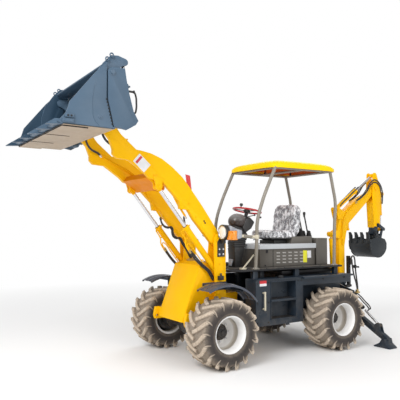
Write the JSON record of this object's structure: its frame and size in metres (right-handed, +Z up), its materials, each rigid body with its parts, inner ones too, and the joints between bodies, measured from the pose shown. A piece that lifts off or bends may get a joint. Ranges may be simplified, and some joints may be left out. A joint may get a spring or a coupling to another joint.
{
  "type": "backhoe loader",
  "caption": "Compact articulated backhoe loader: raised front loader with split bucket, canopied operator's platform, rear digging arm on a swing post, swung-down stabilizers.",
  "frame": {"origin": "middle of the machine's length and width, on the ground", "axes": "+X forward towards the loader bucket, +Y the machine's left, +Z up"},
  "size_m": [5.735, 2.28, 3.284],
  "materials": {
    "yellow_paint": "gloss",
    "navy_paint": "satin",
    "slate_paint": "worn satin",
    "cream_paint": "satin",
    "hood_grey": "satin",
    "post_grey": "satin",
    "black_paint": "satin",
    "chrome_rod": "polished",
    "engine_iron": "rough",
    "tyre_rubber": "dusty",
    "black_plastic": "matte",
    "red_plastic": "gloss"
  },
  "bodies": {
    "rear_body": {"rear_frame": "navy_paint", "rear_axle": "black_paint", "side_box_left": "navy_paint", "side_box_right": "navy_paint", "platform": "black_paint", "engine_block": "engine_iron", "engine_hood": "hood_grey", "console": "black_plastic", "steering_wheel": "red_plastic", "seat": "black_plastic", "control_stand": "black_paint", "canopy_frame": "post_grey", "canopy_roof": "yellow_paint"},
    "front_body": {"front_frame": "yellow_paint", "front_axle": "black_paint", "fender_left": "navy_paint", "fender_right": "navy_paint", "headlamp_left": "black_paint", "headlamp_right": "black_paint"},
    "wheel_front_left": {"tyre_front_left": "tyre_rubber", "rim_front_left": "cream_paint"},
    "wheel_front_right": {"tyre_front_right": "tyre_rubber", "rim_front_right": "cream_paint"},
    "wheel_rear_left": {"tyre_rear_left": "tyre_rubber", "rim_rear_left": "cream_paint"},
    "wheel_rear_right": {"tyre_rear_right": "tyre_rubber", "rim_rear_right": "cream_paint"},
    "steer_barrel": {"steer_barrel": "black_paint"},
    "steer_rod": {"steer_rod": "chrome_rod"},
    "arms": {"loader_arms": "yellow_paint"},
    "lift_barrels": {"lift_barrel_left": "yellow_paint", "lift_barrel_right": "yellow_paint"},
    "lift_rods": {"lift_rod_left": "chrome_rod", "lift_rod_right": "chrome_rod"},
    "tilt_barrel": {"tilt_barrel": "yellow_paint"},
    "tilt_rod": {"tilt_rod": "chrome_rod"},
    "bucket": {"bucket_back": "slate_paint"},
    "clam": {"bucket_clam": "slate_paint"},
    "clam_barrels": {"clam_barrel_left": "slate_paint", "clam_barrel_right": "slate_paint"},
    "clam_rods": {"clam_rod_left": "chrome_rod", "clam_rod_right": "chrome_rod"},
    "swing": {"swing_post": "navy_paint"},
    "boom": {"boom": "yellow_paint"},
    "boom_barrel": {"boom_barrel": "yellow_paint"},
    "boom_rod": {"boom_rod": "chrome_rod"},
    "stick": {"stick": "yellow_paint"},
    "stick_barrel": {"stick_barrel": "yellow_paint"},
    "stick_rod": {"stick_rod": "chrome_rod"},
    "hoe_bucket": {"hoe_bucket": "navy_paint"},
    "hoe_guide": {"hoe_guide_link": "navy_paint"},
    "hoe_link": {"hoe_bucket_link": "navy_paint"},
    "hoe_barrel": {"hoe_barrel": "yellow_paint"},
    "hoe_rod": {"hoe_rod": "chrome_rod"},
    "leg_left": {"stabilizer_leg_left": "navy_paint"},
    "leg_right": {"stabilizer_leg_right": "navy_paint"},
    "leg_barrel_left": {"stabilizer_barrel_left": "navy_paint"},
    "leg_barrel_right": {"stabilizer_barrel_right": "navy_paint"},
    "leg_rod_left": {"stabilizer_rod_left": "chrome_rod"},
    "leg_rod_right": {"stabilizer_rod_right": "chrome_rod"}
  },
  "joints": [
    {"name": "articulation", "type": "hinge", "parent": "rear_body", "child": "front_body", "pos_m": [-0.0815, 0, 0.55], "axis": [0, 0, 1], "range_deg": [-33, 33]},
    {"name": "wheel_front_left_turn", "type": "hinge", "parent": "front_body", "child": "wheel_front_left", "pos_m": [0.8225, 0.674, 0.3935], "axis": [0, 1, 0], "continuous": true},
    {"name": "wheel_front_right_turn", "type": "hinge", "parent": "front_body", "child": "wheel_front_right", "pos_m": [0.8225, -0.674, 0.3935], "axis": [0, 1, 0], "continuous": true},
    {"name": "wheel_rear_left_turn", "type": "hinge", "parent": "rear_body", "child": "wheel_rear_left", "pos_m": [-0.9815, 0.674, 0.3935], "axis": [0, 1, 0], "continuous": true},
    {"name": "wheel_rear_right_turn", "type": "hinge", "parent": "rear_body", "child": "wheel_rear_right", "pos_m": [-0.9815, -0.674, 0.3935], "axis": [0, 1, 0], "continuous": true},
    {"name": "steer_barrel_turn", "type": "hinge", "parent": "rear_body", "child": "steer_barrel", "pos_m": [-0.5315, 0.31, 0.46], "axis": [0, 0, 1], "range_deg": [-12, 12]},
    {"name": "steer_rod_slide", "type": "slide", "parent": "steer_barrel", "child": "steer_rod", "axis": [0.9806, -0.1961, 0], "range_m": [-0.125, 0.125]},
    {"name": "lift", "type": "hinge", "parent": "front_body", "child": "arms", "pos_m": [0.6485, 0, 1.42], "axis": [0, -1, 0], "range_deg": [-80, 6]},
    {"name": "lift_barrel_turn", "type": "hinge", "parent": "front_body", "child": "lift_barrels", "pos_m": [0.6085, 0, 0.985], "axis": [0, -1, 0], "range_deg": [-70, 6]},
    {"name": "lift_rod_slide", "type": "slide", "parent": "lift_barrels", "child": "lift_rods", "axis": [0.6319, 0, 0.775], "range_m": [-0.53, 0.045]},
    {"name": "bucket_tilt", "type": "hinge", "parent": "arms", "child": "bucket", "pos_m": [2.1185, 0, 2.66], "axis": [0, 1, 0], "range_deg": [-90, 35]},
    {"name": "tilt_barrel_turn", "type": "hinge", "parent": "arms", "child": "tilt_barrel", "pos_m": [1.2585, 0, 2.05], "axis": [0, 1, 0], "range_deg": [-3, 3]},
    {"name": "tilt_rod_slide", "type": "slide", "parent": "tilt_barrel", "child": "tilt_rod", "axis": [0.6772, 0, 0.7358], "range_m": [-0.39, 0.155]},
    {"name": "clam_open", "type": "hinge", "parent": "bucket", "child": "clam", "pos_m": [2.2335, 0, 3.099], "axis": [0, -1, 0], "range_deg": [0, 50]},
    {"name": "clam_barrel_turn", "type": "hinge", "parent": "bucket", "child": "clam_barrels", "pos_m": [1.9905, 0, 2.64], "axis": [0, -1, 0], "range_deg": [-1, 5]},
    {"name": "clam_rod_slide", "type": "slide", "parent": "clam_barrels", "child": "clam_rods", "axis": [0.1674, 0, 0.9859], "range_m": [-0.166, 0.004]},
    {"name": "swing", "type": "hinge", "parent": "rear_body", "child": "swing", "pos_m": [-1.6415, 0, 0.56], "axis": [0, 0, 1], "range_deg": [-80, 80]},
    {"name": "boom_lift", "type": "hinge", "parent": "swing", "child": "boom", "pos_m": [-1.8615, 0, 0.76], "axis": [0, -1, 0], "range_deg": [0, 90]},
    {"name": "boom_barrel_turn", "type": "hinge", "parent": "swing", "child": "boom_barrel", "pos_m": [-1.7065, 0, 0.88], "axis": [0, -1, 0], "range_deg": [-1, 89]},
    {"name": "boom_rod_slide", "type": "slide", "parent": "boom_barrel", "child": "boom_rod", "axis": [0.035, 0, 0.9994], "range_m": [-0.005, 0.282]},
    {"name": "stick_swing", "type": "hinge", "parent": "boom", "child": "stick", "pos_m": [-2.6415, 0, 2.206], "axis": [0, 1, 0], "range_deg": [0, 100]},
    {"name": "stick_barrel_turn", "type": "hinge", "parent": "boom", "child": "stick_barrel", "pos_m": [-1.7815, 0, 1.85], "axis": [0, 1, 0], "range_deg": [-6, 1]},
    {"name": "stick_rod_slide", "type": "slide", "parent": "stick_barrel", "child": "stick_rod", "axis": [-0.8365, 0, 0.5479], "range_m": [-0.295, 0.005]},
    {"name": "hoe_bucket_curl", "type": "hinge", "parent": "stick", "child": "hoe_bucket", "pos_m": [-2.6365, 0, 1.49], "axis": [0, 1, 0], "range_deg": [-20, 60]},
    {"name": "hoe_guide_turn", "type": "hinge", "parent": "stick", "child": "hoe_guide", "pos_m": [-2.6815, 0, 1.62], "axis": [0, 1, 0], "range_deg": [-24, 70]},
    {"name": "hoe_link_turn", "type": "hinge", "parent": "hoe_bucket", "child": "hoe_link", "pos_m": [-2.7665, 0, 1.38], "axis": [0, 1, 0], "range_deg": [-43, 15]},
    {"name": "hoe_barrel_turn", "type": "hinge", "parent": "stick", "child": "hoe_barrel", "pos_m": [-2.8315, 0, 2.12], "axis": [0, 1, 0], "range_deg": [-3, 2]},
    {"name": "hoe_rod_slide", "type": "slide", "parent": "hoe_barrel", "child": "hoe_rod", "axis": [0.0175, 0, -0.9998], "range_m": [-0.18, 0.062]},
    {"name": "leg_left_raise", "type": "hinge", "parent": "rear_body", "child": "leg_left", "pos_m": [-1.5815, 0.5, 0.4], "axis": [1, 0, 0], "range_deg": [0, 75]},
    {"name": "leg_barrel_left_turn", "type": "hinge", "parent": "rear_body", "child": "leg_barrel_left", "pos_m": [-1.5815, 0.44, 0.64], "axis": [1, 0, 0], "range_deg": [-1, 64]},
    {"name": "leg_rod_left_slide", "type": "slide", "parent": "leg_barrel_left", "child": "leg_rod_left", "axis": [0, 0.798, -0.6026], "range_m": [-0.29, 0.004]},
    {"name": "leg_right_raise", "type": "hinge", "parent": "rear_body", "child": "leg_right", "pos_m": [-1.5815, -0.5, 0.4], "axis": [-1, 0, 0], "range_deg": [0, 75]},
    {"name": "leg_barrel_right_turn", "type": "hinge", "parent": "rear_body", "child": "leg_barrel_right", "pos_m": [-1.5815, -0.44, 0.64], "axis": [-1, 0, 0], "range_deg": [-1, 64]},
    {"name": "leg_rod_right_slide", "type": "slide", "parent": "leg_barrel_right", "child": "leg_rod_right", "axis": [0, -0.798, -0.6026], "range_m": [-0.29, 0.004]}
  ],
  "couplings": [
    {"joint": "steer_barrel_turn", "follows": "articulation", "ratio": 0.335},
    {"joint": "steer_rod_slide", "follows": "articulation", "m_per_rad": -0.21},
    {"joint": "lift_barrel_turn", "follows": "lift", "ratio": 0.8653},
    {"joint": "lift_rod_slide", "follows": "lift", "m_per_rad": 0.376},
    {"joint": "tilt_barrel_turn", "follows": "bucket_tilt", "ratio": 0.01},
    {"joint": "tilt_rod_slide", "follows": "bucket_tilt", "m_per_rad": 0.2436},
    {"joint": "clam_barrel_turn", "follows": "clam_open", "ratio": 0.07},
    {"joint": "clam_rod_slide", "follows": "clam_open", "m_per_rad": -0.1849},
    {"joint": "boom_barrel_turn", "follows": "boom_lift", "ratio": 0.9816},
    {"joint": "boom_rod_slide", "follows": "boom_lift", "m_per_rad": 0.176},
    {"joint": "stick_barrel_turn", "follows": "stick_swing", "ratio": -0.04},
    {"joint": "stick_rod_slide", "follows": "stick_swing", "m_per_rad": -0.1664},
    {"joint": "hoe_guide_turn", "follows": "hoe_bucket_curl", "ratio": 1.155},
    {"joint": "hoe_link_turn", "follows": "hoe_bucket_curl", "ratio": -0.7},
    {"joint": "hoe_barrel_turn", "follows": "hoe_bucket_curl", "ratio": -0.03},
    {"joint": "hoe_rod_slide", "follows": "hoe_bucket_curl", "m_per_rad": -0.167},
    {"joint": "leg_barrel_left_turn", "follows": "leg_left_raise", "ratio": 0.8343},
    {"joint": "leg_rod_left_slide", "follows": "leg_left_raise", "m_per_rad": -0.2178},
    {"joint": "leg_barrel_right_turn", "follows": "leg_right_raise", "ratio": 0.8343},
    {"joint": "leg_rod_right_slide", "follows": "leg_right_raise", "m_per_rad": -0.2178}
  ]
}
